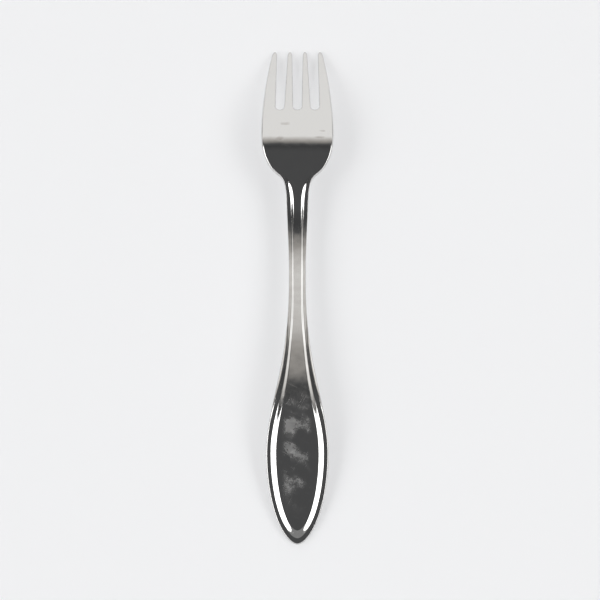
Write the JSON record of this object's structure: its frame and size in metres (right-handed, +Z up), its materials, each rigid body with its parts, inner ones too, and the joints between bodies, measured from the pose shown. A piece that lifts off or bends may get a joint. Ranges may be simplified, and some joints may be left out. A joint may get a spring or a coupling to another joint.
{
  "type": "table fork",
  "caption": "Polished steel table fork lying face down, with tapered tines, a slim neck and a flared handle with a raised panel on its back.",
  "frame": {"origin": "on the table, under the middle of the fork's length and width, where the fork lies face down", "axes": "+Y along the fork towards the tips of the tines, +Z up from the table through the back of the fork, +X to the right when looking along +Y"},
  "size_m": [0.027, 0.19, 0.0168],
  "materials": {
    "polished_steel": "mirror polished stainless steel with fine scratches from use"
  },
  "bodies": {
    "root": {"handle": "polished_steel", "neck": "polished_steel", "head": "polished_steel", "left_outer_tine": "polished_steel", "left_inner_tine": "polished_steel", "right_inner_tine": "polished_steel", "right_outer_tine": "polished_steel"}
  },
  "joints": []
}
